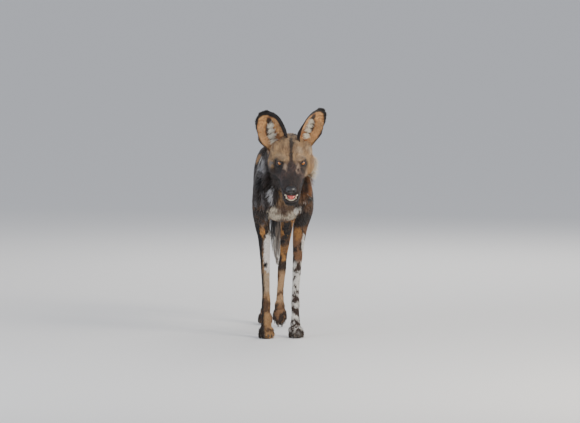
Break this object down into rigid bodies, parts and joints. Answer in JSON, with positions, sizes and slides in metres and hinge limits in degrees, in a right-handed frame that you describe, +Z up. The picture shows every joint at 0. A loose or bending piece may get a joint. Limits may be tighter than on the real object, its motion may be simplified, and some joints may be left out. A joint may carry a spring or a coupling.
{
  "type": "animal model",
  "caption": "Life-size still model of an african wild dog standing in mid step, facing forward with round ears up and mouth open.",
  "frame": {"origin": "centre of the bounding box's footprint, on the ground", "axes": "+Z up, the animal faces -Y with its tail to +Y, its left side at +X"},
  "size_m": [0.2336, 1.0826, 0.7771],
  "materials": {
    "coat_fur": "short coarse fur, mottled black, brown, tan and white",
    "brush_fur": "long fur, black above and white at the end",
    "face_fur": "very short fur, sandy crown and black muzzle",
    "jaw_fur": "very short dark fur, dark lips",
    "ear_fur": "short dark fur, tan inside with pale tufts",
    "paw": "short fur, with dark rubbery pads and claws",
    "nose_pad": "black, moist, finely pebbled skin",
    "tongue": "moist pink skin",
    "eye": "glossy amber-brown eye with a dark pupil"
  },
  "bodies": {
    "root": {"torso": "coat_fur", "foreleg_right": "coat_fur", "forepaw_right": "paw", "foreleg_left": "coat_fur", "forepaw_left": "paw", "hindleg_right": "coat_fur", "hindpaw_right": "paw", "hindleg_left": "coat_fur", "hindpaw_left": "paw", "tail_root": "coat_fur", "tail_brush": "brush_fur", "neck": "coat_fur", "head": "face_fur", "lower_jaw": "jaw_fur", "tongue": "tongue", "nose": "nose_pad", "eye_right": "eye", "eye_left": "eye", "ear_right": "ear_fur", "ear_left": "ear_fur"}
  },
  "joints": []
}
